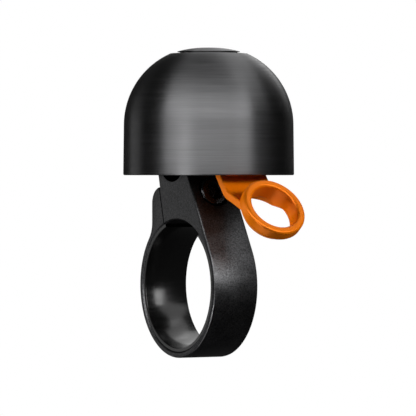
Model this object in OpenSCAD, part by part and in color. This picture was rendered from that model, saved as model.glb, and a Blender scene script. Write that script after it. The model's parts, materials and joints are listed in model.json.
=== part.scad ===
// Compact bicycle bell for a 22.2 mm handlebar.
// +X runs along the bar, -Y points out toward the lever, +Z is up through the dome.
// The origin is the centre of the clamped bar. Sizes are millimetres, angles degrees.
// Outlines are drawn in a plane across the bar: first value outward (-Y), second value up.

/* [Handlebar clamp] */
// Diameter of the handlebar that the liner grips
bar_d = 22.2; // [20:0.1:28]
// Thickness of the soft liner
liner_t = 0.6; // [0.4:0.1:1.2]
// Thickness of the metal band round the liner
band_t = 1.1; // [0.9:0.1:2]
// Width of the clamp along the bar
clamp_w = 9; // [8:0.1:11]
// Width of the liner along the bar
liner_w = 8.6; // [6:0.1:8.8]
// Width of the closing slot between block and strap lug
split_gap = 0.3; // [0.2:0.05:0.8]
// Chamfer on the bore and outer edges of the band
edge_chamfer = 0.3; // [0.1:0.05:0.4]
// Height of the block between the bore and the dome's rim
block_h = 7.93; // [7.5:0.1:12]

/* [Clamp screw] */
// Thread diameter of the clamp screw
screw_d = 3; // [2.5:0.1:3.2]
// Head diameter of the clamp screw
screw_head_d = 5.5; // [4.5:0.1:5.8]
// Head height of the clamp screw
screw_head_h = 3; // [2:0.1:3.5]
// Length of the clamp screw under its head
screw_len = 11; // [9.5:0.1:11.3]
// Hexagon socket size of the clamp screw, across flats
screw_key = 2.5; // [1.5:0.5:2.5]
// Thickness of the washer under the clamp screw's head
washer_t = 0.5; // [0.3:0.1:0.8]

/* [Bell dome] */
// Outer diameter of the dome at its rim
dome_d = 30.3; // [29.5:0.1:38]
// Height of the dome from rim to flat crown
dome_h = 21.58; // [20:0.1:30]
// Wall thickness of the dome
dome_wall = 1.1; // [0.8:0.1:1.3]
// Thickness of the dome's crown
crown_t = 1.2; // [1:0.1:2]
// Radius of the rounded shoulder
shoulder_r = 13.9; // [12:0.1:14.5]
// Radius of the flat crown
crown_r = 6.8; // [6.3:0.1:8]
// Diameter of the low cap over the dome
cap_d = 11.1; // [9:0.1:12]
// Distance of the dome's axis outward from the bar's centre
dome_out = 3.55; // [3:0.05:4.5]

/* [Lever] */
// Thickness of the lever's plate
lever_t = 1.45; // [1.2:0.05:1.6]
// Width of the lever's plate
lever_w = 9.6; // [9.4:0.1:11]
// Inner radius of the finger loop at its front lip
loop_hole_r = 4.35; // [4:0.05:5]
// Wall of the finger loop
loop_wall = 1.5; // [1.3:0.05:1.8]
// Depth of the finger loop behind the middle of its lip
loop_depth = 3; // [2.6:0.1:3.4]
// Upward tilt of the finger loop's axis
loop_tilt = 37.6; // [30:0.1:45]
// Reach of the loop's centre beyond the dome's outer radius
loop_reach = 6.3; // [6.1:0.1:9]
// Drop of the loop's centre below the dome's rim
loop_drop = 5.6; // [5.4:0.1:7]

/* [Pivot] */
// Diameter of the pivot pin
pin_d = 2; // [1.6:0.1:2.2]
// Distance of the pivot outward from the dome's axis
pivot_out = 5.6; // [5.5:0.1:5.8]
// Height of the pivot above the rim
pivot_up = 10.8; // [10.4:0.1:11.6]
// Wire diameter of the return spring
spring_wire = 0.45; // [0.3:0.05:0.45]
// Number of full turns of the return spring, which adds a half turn
spring_turns = 5; // [3:1:5]

/* [Hammer] */
// Diameter of the hammer
hammer_d = 3.4; // [2.5:0.1:4]
// Thickness of the hammer's leaf spring
leaf_t = 0.3; // [0.2:0.05:0.4]
// Width of the leaf spring
leaf_w = 4; // [3:0.1:4.4]
// Gap between hammer and dome at rest
strike_gap = 0.95; // [0.9:0.05:1.5]

/* [Hidden] */
$fn = 96;

// clearances
slip = 0.01;          // between a pressed or screwed piece and its hole
running = 0.03;       // between the pivot pin and its bushes
hole_clear = 0.1;     // round a loose shank
stop_gap = 0.3;       // between the lever's tongue and its rubber stop
through = 40;         // long enough to cut right through
bend_lap = 0.02;      // how far a strip's straights run into its bends

// clamp
bar_r = bar_d / 2;
bore_r = bar_r + liner_t;
band_r = bore_r + band_t;
rim_z = bore_r + block_h;
seam_angle = 21;      // where the slot meets the bore, left of the top
seam_tilt = 14;       // lean of the slot and of the screw square to it
liner_end = 38;       // where the liner stops on the lever's side, right of the top
seam_foot = [-bore_r * sin(seam_angle), bore_r * cos(seam_angle)];
seam_across = [cos(seam_tilt), sin(seam_tilt)];
face_tilt = 29;       // lean of the block's sloping front
front_foot = [band_r * cos(face_tilt), band_r * sin(face_tilt)];
front_top = [front_foot[0] - (rim_z - front_foot[1]) * tan(face_tilt), rim_z];

// deck under the mechanism, measured from the rim
deck_low = 0.5;
deck_up = 4.2;
deck_reach = 4;       // beyond the dome's axis
key_depth = 0.4;      // the bracket's seat sunk into the deck
base_up = deck_up - key_depth;

// clamp screw: the middle of its head's face, from the dome's axis and the rim
head_out = 2.2;
head_up = -2.65;
lug_r = 2.9;
lug_run = screw_len + screw_head_h;

// window through the block below the deck
window_r = 4.5;
window_out = -5.2;
window_up = 3.3;
window_half = 3.3;
window_top = 1.4;

// dome
dome_r = dome_d / 2;
wall_taper = 0.1;
rim_round = 0.25;
shoulder_out = dome_r - wall_taper - shoulder_r;
shoulder_up = dome_h - sqrt(pow(shoulder_r, 2) - pow(crown_r - shoulder_out, 2));
rim_in_r = dome_r - dome_wall;
crown_low = dome_h - crown_t;

// dome post and its washers
post_r = 2.3;
post_flange_af = 5.5;
post_flange_h = 2;
stud_r = 2;
stud_len = 3;
bush_flange_t = 0.5;
bush_flange_r = 4;
bush_collar_r = 2.5;
upper_washer_t = 0.25;
upper_washer_r = cap_d / 2 - 0.45;
cap_shank_r = 1.5;
cap_shank_len = 8;
cap_h = 0.77;
cap_top_r = 2.6;
cap_key = 2;
base_t = 0.8;
post_foot = base_up + base_t;
post_top = crown_low - bush_flange_t;

// lever
plate_half = lever_t / 2;
cheek_t = lever_t;
ear_t = 1;
bush_flange = 0.2;
ear_out = lever_w / 2 - cheek_t - 0.25;
pin_r = pin_d / 2;
ear_r = 2.2;
cheek_r = 2.3;
web_out = pivot_out + 3.4;
tongue_up = pivot_up + ear_r + 0.4 + plate_half;
tongue_half = 2.2;
web_knee = [web_out, 2.15];
rim_knee = [rim_in_r - 0.86, -3.25];
lower_slope = 21.8;
sleeve_r = 3.75;
sleeve_low = pivot_up + 1.9;
sleeve_h = 3.2;
loop_centre = [dome_r + loop_reach, -loop_drop];
loop_out_r = loop_hole_r + loop_wall;
lip_round = 0.5;      // rounding of the loop's front edges
scoop_r = 3.4;        // groove under the plate that leads a finger into the loop
scoop_in = 6.55;      // the groove's round end, inward of the loop's centre
scoop_low = 1.45;     // the groove's axis below the loop's centre
lower_run = loop_centre[0] - 2.3 - rim_knee[0];
lever_path = [
    [sleeve_r + stop_gap, tongue_up],
    [web_out, tongue_up],
    web_knee,
    rim_knee,
    rim_knee + lower_run * [1, -tan(lower_slope)]
];
lever_bends = [0, 1.6, 2.4, 3, 0];

// pivot pin and its clips
bush_r = 1.5;
clip_gap = 0.2;
clip_t = 0.35;
clip_r = 1.9;
groove_r = pin_r - 0.25;
pin_half = lever_w / 2 + clip_gap + clip_t + 0.3;

// return spring
coil_r = 1.75;
coil_half = 1.35;
leg_foot = 5.4;
coil_steps = 24;      // straight steps in one turn

// hammer
web_face = web_out + plate_half;
leaf_out = web_face + leaf_t / 2;
leaf_top = pivot_up + 1.6;
leaf_root = pivot_up - 2.4;
hammer_up = 4.4;
hammer_len = 2.05;
hammer_nose = 0.2;
hammer_tip = rim_in_r - strike_gap;
blade_out = hammer_tip - hammer_len - leaf_t / 2;
leaf_path = [
    [leaf_out, leaf_top],
    [leaf_out, leaf_root],
    [blade_out, leaf_root - 1.8],
    [blade_out, hammer_up - 1.5]
];
leaf_bends = [0, 0.6, 0.6, 0];
bar_t = 0.8;
bar_w = 5;
rivet_r = 0.5;
rivet_head_r = 0.9;
rivet_head_h = 0.35;
rivet_half = 1.5;
rivet_up = pivot_up - 0.3;
clamp_bar_half = 1.6;

// ---------------------------------------------------------------- helpers

// Turns an (outward, up) outline into a solid of width w centred across the clamp.
module across(w) {
    rotate([90, 0, -90])
        linear_extrude(w, center = true)
            children();
}

// Moves an (outward, up) outline from the dome's axis and rim to the bar's centre.
module from_rim() {
    translate([dome_out, rim_z])
        children();
}

// Stands a solid drawn round +Z on the dome's axis, z counted from the rim.
module on_dome_axis() {
    translate([0, -dome_out, rim_z])
        children();
}

// Lays a solid drawn round +Z along the bar at an (outward, up) place from the rim.
module along_bar(place) {
    translate([0, -dome_out - place[0], rim_z + place[1]])
        rotate([0, 90, 0])
            children();
}

// Points a solid drawn round +Z straight outward from a place on the rim's frame.
module outward(a, place) {
    translate([a, -dome_out - place[0], rim_z + place[1]])
        rotate([90, 0, 0])
            children();
}

// Points a solid drawn round +Z down the clamp screw, from its head's face inward.
module down_screw() {
    translate([0, -dome_out - head_out, rim_z + head_up])
        rotate([-90 - seam_tilt, 0, 0])
            children();
}

function unit(v) = v / norm(v);
function turn(a, b, c) = cross(unit(b - a), unit(c - b));
function bend_angle(a, b, c) = acos(unit(b - a) * unit(c - b));
function set_back(a, b, c, r) = r * tan(bend_angle(a, b, c) / 2);

// A flat strip of thickness t along a path, with a round bend of radius r[i] at corner i.
module bent_strip(path, r, t) {
    last = len(path) - 1;
    back = [for (i = [0:last])
        (i == 0 || i == last) ? 0 : set_back(path[i - 1], path[i], path[i + 1], r[i])];
    for (i = [0:last - 1]) {
        run = unit(path[i + 1] - path[i]);
        start = path[i] + run * back[i];
        long = norm(path[i + 1] - path[i]) - back[i] - back[i + 1];
        lap_from = (i == 0) ? 0 : bend_lap;
        lap_to = (i == last - 1) ? 0 : bend_lap;
        translate(start)
            rotate(atan2(run[1], run[0]))
                translate([-lap_from, -t / 2])
                    square([long + lap_from + lap_to, t]);
    }
    for (i = [1:last - 1])
        bend_sector(path[i - 1], path[i], path[i + 1], r[i], t);
}

// The round corner of a bent strip: a ring cut to the wedge between its two straights.
module bend_sector(a, b, c, r, t) {
    side = sign(turn(a, b, c));
    run = unit(b - a);
    inward = side * [-run[1], run[0]];
    start = b - run * set_back(a, b, c, r);
    middle = start + inward * r;
    sweep = bend_angle(a, b, c);
    from = atan2(-inward[1], -inward[0]);
    intersection() {
        translate(middle)
            difference() {
                circle(r + t / 2);
                circle(r - t / 2);
            }
        translate(middle)
            rotate(from)
                polygon([[0, 0], [4 * r, 0],
                    4 * r * [cos(side * sweep / 2), sin(side * sweep / 2)],
                    4 * r * [cos(side * sweep), sin(side * sweep)]]);
    }
}

// ---------------------------------------------------------------- clamp

// Band, with both outer edges and both bore edges chamfered.
module band_ring() {
    half = clamp_w / 2;
    c = edge_chamfer;
    rotate([0, 90, 0])
        rotate_extrude()
            polygon([
                [bore_r - 1, -half], [band_r - c, -half], [band_r, -half + c],
                [band_r, half - c], [band_r - c, half], [bore_r - 1, half]
            ]);
}

// The block runs halfway into the closing slot, whose cut gives it its face there.
module block_outline() {
    top = rim_z + deck_up;
    seam_foot_in = seam_foot - seam_across * split_gap / 2;
    seam_top_in = seam_foot_in + (top - seam_foot_in[1]) * [-tan(seam_tilt), 1];
    polygon([
        [0, 0], seam_foot_in, seam_top_in,
        [dome_out + deck_reach, top], [dome_out + deck_reach, rim_z + deck_low],
        [front_top[0] - deck_low * tan(face_tilt), rim_z + deck_low], front_foot
    ]);
}

// Rounded lug that the screw pulls toward the block.
module lug_outline() {
    middle = [dome_out - 9.3, rim_z - 5];
    outer = middle[0] - lug_r;
    translate(middle)
        circle(lug_r);
    polygon([
        seam_foot, [-3, 5], [-band_r * sin(52), band_r * cos(52)],
        [outer - 0.35, rim_z - 10.2], [outer, rim_z - 8.8],
        [outer, middle[1]], middle
    ]);
}

module window_outline() {
    intersection() {
        translate([window_out, window_up])
            circle(window_r);
        translate([window_out - window_half, window_up - window_r - 1])
            square([2 * window_half, window_top - window_up + window_r + 1]);
    }
}

module clamp_body() {
    seam_run = 30;
    color([0.11, 0.11, 0.12])
    difference() {
        union() {
            band_ring();
            across(clamp_w)
                block_outline();
            across(clamp_w)
                difference() {
                    lug_outline();
                    translate(seam_foot)
                        rotate(seam_tilt)
                            translate([-split_gap, -seam_run])
                                square([seam_run, 2 * seam_run]);
                }
        }
        rotate([0, 90, 0])
            cylinder(r = bore_r, h = through, center = true);
        for (side = [0, 180])
            rotate([side, 0, 0])
                rotate([0, 90, 0])
                    translate([0, 0, clamp_w / 2 - edge_chamfer])
                        cylinder(r1 = bore_r, r2 = bore_r + 2 * edge_chamfer, h = 2 * edge_chamfer);
        // closing slot
        across(through)
            translate(seam_foot)
                rotate(seam_tilt)
                    translate([-split_gap, -6])
                        square([split_gap, 6 + seam_run]);
        across(through)
            from_rim()
                window_outline();
        // seat that keys the bracket to the deck
        on_dome_axis()
            translate([-ear_out - slip, -deck_reach - 1, base_up])
                cube([2 * (ear_out + slip), 2 * deck_reach + 1, key_depth + 1]);
        on_dome_axis()
            translate([0, 0, deck_low - 1])
                cylinder(r = stud_r + slip, h = deck_up + 2);
        // counterbore, clearance hole and tapped hole of the clamp screw
        down_screw() {
            translate([0, 0, -6])
                cylinder(r = screw_head_d / 2 + 0.25, h = 6 + screw_head_h + washer_t);
            cylinder(r = screw_d / 2 + hole_clear, h = 9);
            cylinder(r = screw_d / 2 + slip, h = lug_run + 0.3);
        }
    }
}

module bar_liner() {
    far = 2 * bore_r;
    color([0.07, 0.07, 0.075])
    difference() {
        rotate([0, 90, 0])
            cylinder(r = bore_r - slip, h = liner_w, center = true);
        rotate([0, 90, 0])
            cylinder(r = bar_r, h = through, center = true);
        across(through)
            polygon([
                [0, 0], far * [-sin(seam_angle), cos(seam_angle)], [0, far],
                far * [sin(liner_end), cos(liner_end)]
            ]);
    }
}

module clamp_screw() {
    color([0.16, 0.16, 0.17])
    down_screw()
        difference() {
            union() {
                cylinder(r1 = screw_head_d / 2 - 0.2, r2 = screw_head_d / 2, h = 0.2);
                translate([0, 0, 0.2])
                    cylinder(r = screw_head_d / 2, h = screw_head_h - 0.2);
                cylinder(r = screw_d / 2, h = screw_head_h + screw_len);
            }
            translate([0, 0, -1])
                cylinder(d = screw_key / cos(30), h = 2.5, $fn = 6);
            translate([0, 0, -slip])
                cylinder(r1 = screw_key / 2 + 0.32, r2 = screw_key / 2, h = 0.35);
        }
}

module clamp_washer() {
    color([0.3, 0.3, 0.31])
    down_screw()
        translate([0, 0, screw_head_h])
            difference() {
                cylinder(r = screw_head_d / 2, h = washer_t);
                translate([0, 0, -1])
                    cylinder(r = screw_d / 2 + hole_clear, h = washer_t + 2);
            }
}

// ---------------------------------------------------------------- dome

// Half section of a bell that is d inside the outer surface, closed at height top.
module bell_section(d, top) {
    polygon([
        [0, 0], [dome_r - d - rim_round, 0], [dome_r - d, rim_round],
        [dome_r - wall_taper - d, shoulder_up], [0, shoulder_up]
    ]);
    intersection() {
        translate([shoulder_out, shoulder_up])
            circle(shoulder_r - d);
        translate([0, shoulder_up - slip])
            square([dome_r, top - shoulder_up + slip]);
    }
}

module bell_dome() {
    color([0.13, 0.13, 0.135])
    on_dome_axis()
        rotate_extrude()
            difference() {
                bell_section(0, dome_h);
                bell_section(dome_wall, crown_low);
                translate([0, -1])
                    square([rim_in_r, 1 + rim_round]);
                square([bush_collar_r + slip, 2 * dome_h]);
            }
}

module dome_cap_screw() {
    foot = dome_h + upper_washer_t;
    color([0.12, 0.12, 0.125])
    on_dome_axis()
        difference() {
            union() {
                rotate_extrude()
                    polygon([
                        [0, foot], [cap_d / 2, foot], [cap_d / 2, foot + 0.12],
                        [cap_top_r, foot + cap_h - 0.08], [cap_top_r - 1.3, foot + cap_h],
                        [0, foot + cap_h]
                    ]);
                translate([0, 0, foot - cap_shank_len])
                    cylinder(r = cap_shank_r, h = cap_shank_len);
            }
            translate([0, 0, foot + cap_h - 1.3])
                cylinder(d = cap_key / cos(30), h = 2, $fn = 6);
        }
}

module dome_upper_washer() {
    color([0.05, 0.05, 0.05])
    on_dome_axis()
        translate([0, 0, dome_h])
            difference() {
                cylinder(r = upper_washer_r, h = upper_washer_t);
                translate([0, 0, -1])
                    cylinder(r = cap_shank_r + hole_clear, h = 2);
            }
}

// Flanged bush that keeps the dome off the post so that it can ring.
module dome_lower_bush() {
    color([0.85, 0.85, 0.82])
    on_dome_axis()
        difference() {
            union() {
                translate([0, 0, crown_low - bush_flange_t])
                    cylinder(r = bush_flange_r, h = bush_flange_t);
                translate([0, 0, crown_low - bush_flange_t])
                    cylinder(r = bush_collar_r, h = bush_flange_t + crown_t);
            }
            translate([0, 0, crown_low - 2])
                cylinder(r = cap_shank_r + hole_clear, h = 5);
        }
}

module dome_post() {
    tap_foot = dome_h + upper_washer_t - cap_shank_len - 0.5;
    color([0.62, 0.62, 0.63])
    on_dome_axis()
        difference() {
            union() {
                translate([0, 0, post_foot - base_t - stud_len])
                    cylinder(r = stud_r, h = stud_len + base_t + 1);
                translate([0, 0, post_foot])
                    rotate(30)
                        cylinder(d = post_flange_af / cos(30), h = post_flange_h, $fn = 6);
                translate([0, 0, post_foot])
                    cylinder(r = post_r, h = post_top - post_foot);
            }
            translate([0, 0, tap_foot])
                cylinder(r = cap_shank_r + slip, h = dome_h);
        }
}

// ---------------------------------------------------------------- pivot

module ear_outline() {
    lean = 20;        // where the ear's straight edges meet its round end
    difference() {
        union() {
            translate([pivot_out, pivot_up])
                circle(ear_r);
            polygon([
                [2.8, base_up], [4.6, base_up],
                [pivot_out, pivot_up] + ear_r * [cos(lean), -sin(lean)],
                [pivot_out, pivot_up] - ear_r * [cos(lean), -sin(lean)]
            ]);
        }
        translate([pivot_out, pivot_up])
            circle(pin_r + slip);
    }
}

module pivot_bracket() {
    color([0.55, 0.55, 0.56])
    union() {
        on_dome_axis()
            difference() {
                translate([-ear_out, -4.6, base_up])
                    cube([2 * ear_out, 8.2, base_t]);
                translate([0, 0, base_up - 1])
                    cylinder(r = stud_r + hole_clear, h = base_t + 2);
            }
        for (side = [-1, 1])
            translate([side * (ear_out - ear_t / 2), 0, 0])
                across(ear_t)
                    from_rim()
                        ear_outline();
    }
}

module pivot_pin() {
    color([0.7, 0.7, 0.71])
    along_bar([pivot_out, pivot_up])
        rotate_extrude() {
            groove = lever_w / 2 + clip_gap;
            square([groove_r, pin_half]);
            square([pin_r, groove]);
            translate([0, groove + clip_t])
                square([pin_r, pin_half - groove - clip_t]);
            translate([0, -pin_half])
                square([groove_r, pin_half]);
            translate([0, -groove])
                square([pin_r, groove]);
            translate([0, -pin_half])
                square([pin_r, pin_half - groove - clip_t]);
        }
}

// Two C-shaped clips that hold the pin from sliding out.
module pin_clips() {
    color([0.35, 0.35, 0.36])
    for (side = [-1, 1])
        along_bar([pivot_out, pivot_up])
            translate([0, 0, side * (lever_w / 2 + clip_gap + clip_t / 2)])
                difference() {
                    cylinder(r = clip_r, h = clip_t - 2 * slip, center = true);
                    cylinder(r = groove_r + slip, h = 1, center = true);
                    translate([-clip_r - 1, -groove_r * 0.8, -1])
                        cube([clip_r + 1, groove_r * 1.6, 2]);
                }
}

// Flanged bushes pressed into the lever's cheeks.
module pivot_bushes() {
    inner = ear_out + 0.03;
    color([0.85, 0.84, 0.8])
    for (side = [0, 180])
        along_bar([pivot_out, pivot_up])
            rotate([side, 0, 0])
                difference() {
                    union() {
                        translate([0, 0, inner])
                            cylinder(r = ear_r - 0.1, h = bush_flange);
                        translate([0, 0, inner])
                            cylinder(r = bush_r, h = lever_w / 2 - inner);
                    }
                    translate([0, 0, inner - 1])
                        cylinder(r = pin_r + running, h = 5);
                }
}

// Points along the return spring: foot leg, coil, lever leg, as [along bar, outward, up].
function spring_path() = concat(
    [[-coil_half, post_flange_af / 2 + spring_wire / 2 + 0.02, leg_foot]],
    [for (i = [0:coil_steps * (spring_turns + 0.5)])
        let (share = i / (coil_steps * (spring_turns + 0.5)))
        [
            coil_half * (2 * share - 1),
            pivot_out - coil_r * cos(i * 360 / coil_steps),
            pivot_up + coil_r * sin(i * 360 / coil_steps)
        ]],
    [[coil_half, web_out - plate_half - spring_wire / 2 - 0.03, leg_foot]]
);

// Sweeps a round wire along points whose path never runs along the bar.
module wire(points, r, sides = 8) {
    last = len(points) - 1;
    along = [for (i = [0:last])
        unit(points[min(i + 1, last)] - points[max(i - 1, 0)])];
    ring = [for (i = [0:last])
        let (x = unit(cross(along[i], [1, 0, 0])), y = cross(along[i], x))
        for (k = [0:sides - 1])
            points[i] + r * (x * cos(k * 360 / sides) + y * sin(k * 360 / sides))];
    skin = [for (i = [0:last - 1], k = [0:sides - 1])
        [i * sides + k, i * sides + (k + 1) % sides,
            (i + 1) * sides + (k + 1) % sides, (i + 1) * sides + k]];
    ends = [
        [for (k = [sides - 1:-1:0]) k],
        [for (k = [0:sides - 1]) last * sides + k]
    ];
    polyhedron(ring, concat(ends, skin));
}

module return_spring() {
    color([0.5, 0.5, 0.52])
    on_dome_axis()
        wire([for (p = spring_path()) [p[0], -p[1], p[2]]], spring_wire / 2);
}

module stop_sleeve() {
    color([0.06, 0.06, 0.06])
    on_dome_axis()
        translate([0, 0, sleeve_low])
            difference() {
                cylinder(r = sleeve_r, h = sleeve_h);
                translate([0, 0, -1])
                    cylinder(r = post_r, h = sleeve_h + 2);
            }
}

// ---------------------------------------------------------------- lever

module on_loop_axis() {
    translate([0, -dome_out - loop_centre[0], rim_z + loop_centre[1]])
        rotate([90 - loop_tilt, 0, 0])
            children();
}

// Finger loop: a round front lip, a straight hole and an outside that draws in at the back.
module finger_loop() {
    rotate_extrude() {
        for (r = [loop_hole_r + lip_round, loop_out_r - lip_round])
            translate([r, 0])
                circle(lip_round);
        polygon([
            [loop_hole_r + lip_round, lip_round], [loop_hole_r + lip_round, 0], [loop_hole_r, 0],
            [loop_hole_r, -loop_depth], [loop_out_r - 1.2, -loop_depth],
            [loop_out_r - 1.1, -loop_depth + 0.25], [loop_out_r - 0.8, -loop_depth + 0.6],
            [loop_out_r - 0.45, -loop_depth + 1], [loop_out_r - 0.15, -loop_depth + 1.4],
            [loop_out_r, -loop_depth + 1.7], [loop_out_r, 0], [loop_out_r - lip_round, 0],
            [loop_out_r - lip_round, lip_round]
        ]);
    }
}

// Level groove with a round inner end, below the plate and in line with the loop.
module scoop() {
    middle = loop_centre - [scoop_in, scoop_low];
    outward(0, middle) {
        sphere(scoop_r);
        cylinder(r = scoop_r, h = 2.8);
    }
}

// Side cheek of the lever, from the web to a round end at the pivot.
module cheek_outline() {
    heel = 61;
    pivot = [pivot_out, pivot_up];
    heel_point = pivot - cheek_r * [cos(heel), sin(heel)];
    web_foot = heel_point[1] - (web_out - heel_point[0]) / tan(heel);
    translate(pivot)
        circle(cheek_r);
    polygon([
        pivot, [pivot_out, pivot_up + cheek_r], [web_out, pivot_up + cheek_r],
        [web_out, web_foot], heel_point
    ]);
}

module trigger_lever() {
    cheek_mid = (lever_w - cheek_t) / 2;
    color([0.95, 0.42, 0.02])
    difference() {
        union() {
            on_loop_axis()
                finger_loop();
            difference() {
                union() {
                    across(lever_w)
                        from_rim()
                            bent_strip(lever_path, lever_bends, lever_t);
                    for (side = [-1, 1])
                        translate([side * cheek_mid, 0, 0])
                            across(cheek_t)
                                from_rim()
                                    cheek_outline();
                }
                // the loop's hole goes on through the plate, which ends in the loop's wall
                on_loop_axis()
                    translate([0, 0, -loop_depth - 6])
                        cylinder(r = loop_hole_r + bend_lap, h = loop_depth + 8);
            }
        }
        lever_cuts();
    }
}

// The tongue's relief, the groove under the plate, the pivot's bore and the rivets' holes.
module lever_cuts() {
    scoop();
    // the tongue is narrower than the web
    for (side = [-1, 1])
        on_dome_axis()
            translate([side * (tongue_half + 5) - 5, -web_out - 0.2, pivot_up + cheek_r])
                cube([10, web_out, 5]);
    along_bar([pivot_out, pivot_up])
        cylinder(r = bush_r + slip, h = through, center = true);
    for (side = [-1, 1])
        outward(side * rivet_half, [0, rivet_up])
            cylinder(r = rivet_r + slip, h = through);
}

// ---------------------------------------------------------------- hammer

module hammer_leaf() {
    color([0.66, 0.66, 0.68])
    difference() {
        across(leaf_w)
            from_rim()
                bent_strip(leaf_path, leaf_bends, leaf_t);
        for (side = [-1, 1])
            outward(side * rivet_half, [0, rivet_up])
                cylinder(r = rivet_r + 0.05, h = through);
        outward(0, [0, hammer_up])
            cylinder(r = rivet_r + slip, h = through);
    }
}

module leaf_clamp_bar() {
    color([0.55, 0.55, 0.56])
    difference() {
        outward(0, [web_face + leaf_t, rivet_up])
            translate([-bar_w / 2, -clamp_bar_half, 0])
                cube([bar_w, 2 * clamp_bar_half, bar_t]);
        for (side = [-1, 1])
            outward(side * rivet_half, [0, rivet_up])
                cylinder(r = rivet_r + slip, h = through);
    }
}

module leaf_rivets() {
    inner = web_out - plate_half;
    grip = lever_t + leaf_t + bar_t;
    color([0.72, 0.6, 0.3])
    for (side = [-1, 1])
        outward(side * rivet_half, [inner, rivet_up]) {
            translate([0, 0, -rivet_head_h])
                cylinder(r1 = rivet_head_r - 0.2, r2 = rivet_head_r, h = rivet_head_h);
            cylinder(r = rivet_r, h = grip);
            translate([0, 0, grip])
                cylinder(r1 = rivet_head_r, r2 = rivet_head_r - 0.2, h = rivet_head_h);
        }
}

module hammer_head() {
    body = hammer_len - hammer_nose;
    nose_r = (pow(hammer_d / 2, 2) + pow(hammer_nose, 2)) / (2 * hammer_nose);
    color([0.78, 0.62, 0.28])
    outward(0, [blade_out + leaf_t / 2, hammer_up])
        difference() {
            rotate_extrude()
                intersection() {
                    square([hammer_d / 2, hammer_len]);
                    translate([0, hammer_len - nose_r])
                        circle(nose_r, $fn = 256);
                }
            translate([0, 0, -1])
                cylinder(r = rivet_r + slip, h = 1 + body * 0.7);
        }
}

module hammer_rivet() {
    color([0.72, 0.6, 0.3])
    outward(0, [blade_out - leaf_t / 2, hammer_up]) {
        translate([0, 0, -rivet_head_h])
            cylinder(r1 = rivet_head_r - 0.2, r2 = rivet_head_r, h = rivet_head_h);
        cylinder(r = rivet_r, h = leaf_t + (hammer_len - hammer_nose) * 0.7);
    }
}

clamp_body();
bar_liner();
clamp_screw();
clamp_washer();
bell_dome();
dome_cap_screw();
dome_upper_washer();
dome_lower_bush();
dome_post();
pivot_bracket();
pivot_pin();
pin_clips();
pivot_bushes();
trigger_lever();
return_spring();
stop_sleeve();
hammer_leaf();
leaf_clamp_bar();
leaf_rivets();
hammer_head();
hammer_rivet();
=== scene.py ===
"""Bicycle bell with a split band clamp and a thumb lever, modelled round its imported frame.

+X runs along the handlebar, -Y points out toward the lever and +Z is up. Vectors are in
metres. Sizes, and outlines as (outward, up) pairs, are in mm: outward is -Y from the bar.
"""

import json
import logging
import math
from dataclasses import dataclass
from enum import Enum
from typing import Any, Callable, Sequence

import bpy
from mathutils import Matrix, Quaternion, Vector


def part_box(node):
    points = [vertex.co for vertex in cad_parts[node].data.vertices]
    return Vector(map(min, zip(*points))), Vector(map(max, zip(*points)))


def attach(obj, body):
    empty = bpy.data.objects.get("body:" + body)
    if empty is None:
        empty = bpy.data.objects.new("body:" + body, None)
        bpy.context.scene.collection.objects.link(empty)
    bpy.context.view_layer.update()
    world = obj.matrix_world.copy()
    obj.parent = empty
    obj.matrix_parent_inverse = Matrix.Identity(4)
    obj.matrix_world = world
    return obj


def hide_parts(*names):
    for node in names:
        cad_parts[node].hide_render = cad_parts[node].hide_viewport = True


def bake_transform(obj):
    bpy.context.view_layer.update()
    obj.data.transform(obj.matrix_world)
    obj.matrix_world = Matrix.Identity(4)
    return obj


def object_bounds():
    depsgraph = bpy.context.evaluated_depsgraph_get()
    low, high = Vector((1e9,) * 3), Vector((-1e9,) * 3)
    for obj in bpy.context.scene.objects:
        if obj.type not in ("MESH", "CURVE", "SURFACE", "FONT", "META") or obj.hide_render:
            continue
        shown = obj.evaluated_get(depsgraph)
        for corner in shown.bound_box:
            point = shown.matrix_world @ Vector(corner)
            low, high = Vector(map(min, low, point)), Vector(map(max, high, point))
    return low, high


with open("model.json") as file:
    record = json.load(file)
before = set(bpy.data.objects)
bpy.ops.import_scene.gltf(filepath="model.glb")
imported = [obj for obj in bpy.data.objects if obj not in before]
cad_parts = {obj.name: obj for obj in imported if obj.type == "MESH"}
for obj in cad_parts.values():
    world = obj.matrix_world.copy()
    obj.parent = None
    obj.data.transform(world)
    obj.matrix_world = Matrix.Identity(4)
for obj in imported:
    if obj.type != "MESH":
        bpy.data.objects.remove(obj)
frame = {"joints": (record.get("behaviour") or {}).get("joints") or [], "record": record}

LOG = logging.getLogger("bell")
MM = 0.001
ALONG, OUT, UP = Vector((1, 0, 0)), Vector((0, -1, 0)), Vector((0, 0, 1))
CAD_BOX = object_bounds()
Point = tuple[float, float]
Piece = bpy.types.Object
Tree, Node, Socket = bpy.types.NodeTree, bpy.types.Node, bpy.types.NodeSocket


class Body(Enum):
    """The rigid bodies that pieces ride on."""

    CLAMP = "clamp"
    LEVER = "lever"
    HAMMER = "hammer"


class Slot(Enum):
    """The record's material slots."""

    ANODISED = "black_anodised"
    DOME = "dome_black"
    BLACK_STEEL = "black_steel"
    STEEL = "plain_steel"
    ORANGE = "orange_plastic"
    RUBBER = "liner_rubber"
    BLACK_NYLON = "black_plastic"
    ACETAL = "white_plastic"
    BRASS = "brass"


# ---------- finishes


def linear(code: str) -> tuple[float, float, float, float]:
    """Turns an sRGB hex code such as #808080 into linear light with an alpha of one."""
    parts = [int(code[i:i + 2], 16) / 255 for i in (1, 3, 5)]
    red, green, blue = [p / 12.92 if p <= 0.04045 else ((p + 0.055) / 1.055) ** 2.4
                        for p in parts]
    return (red, green, blue, 1.0)


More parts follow.
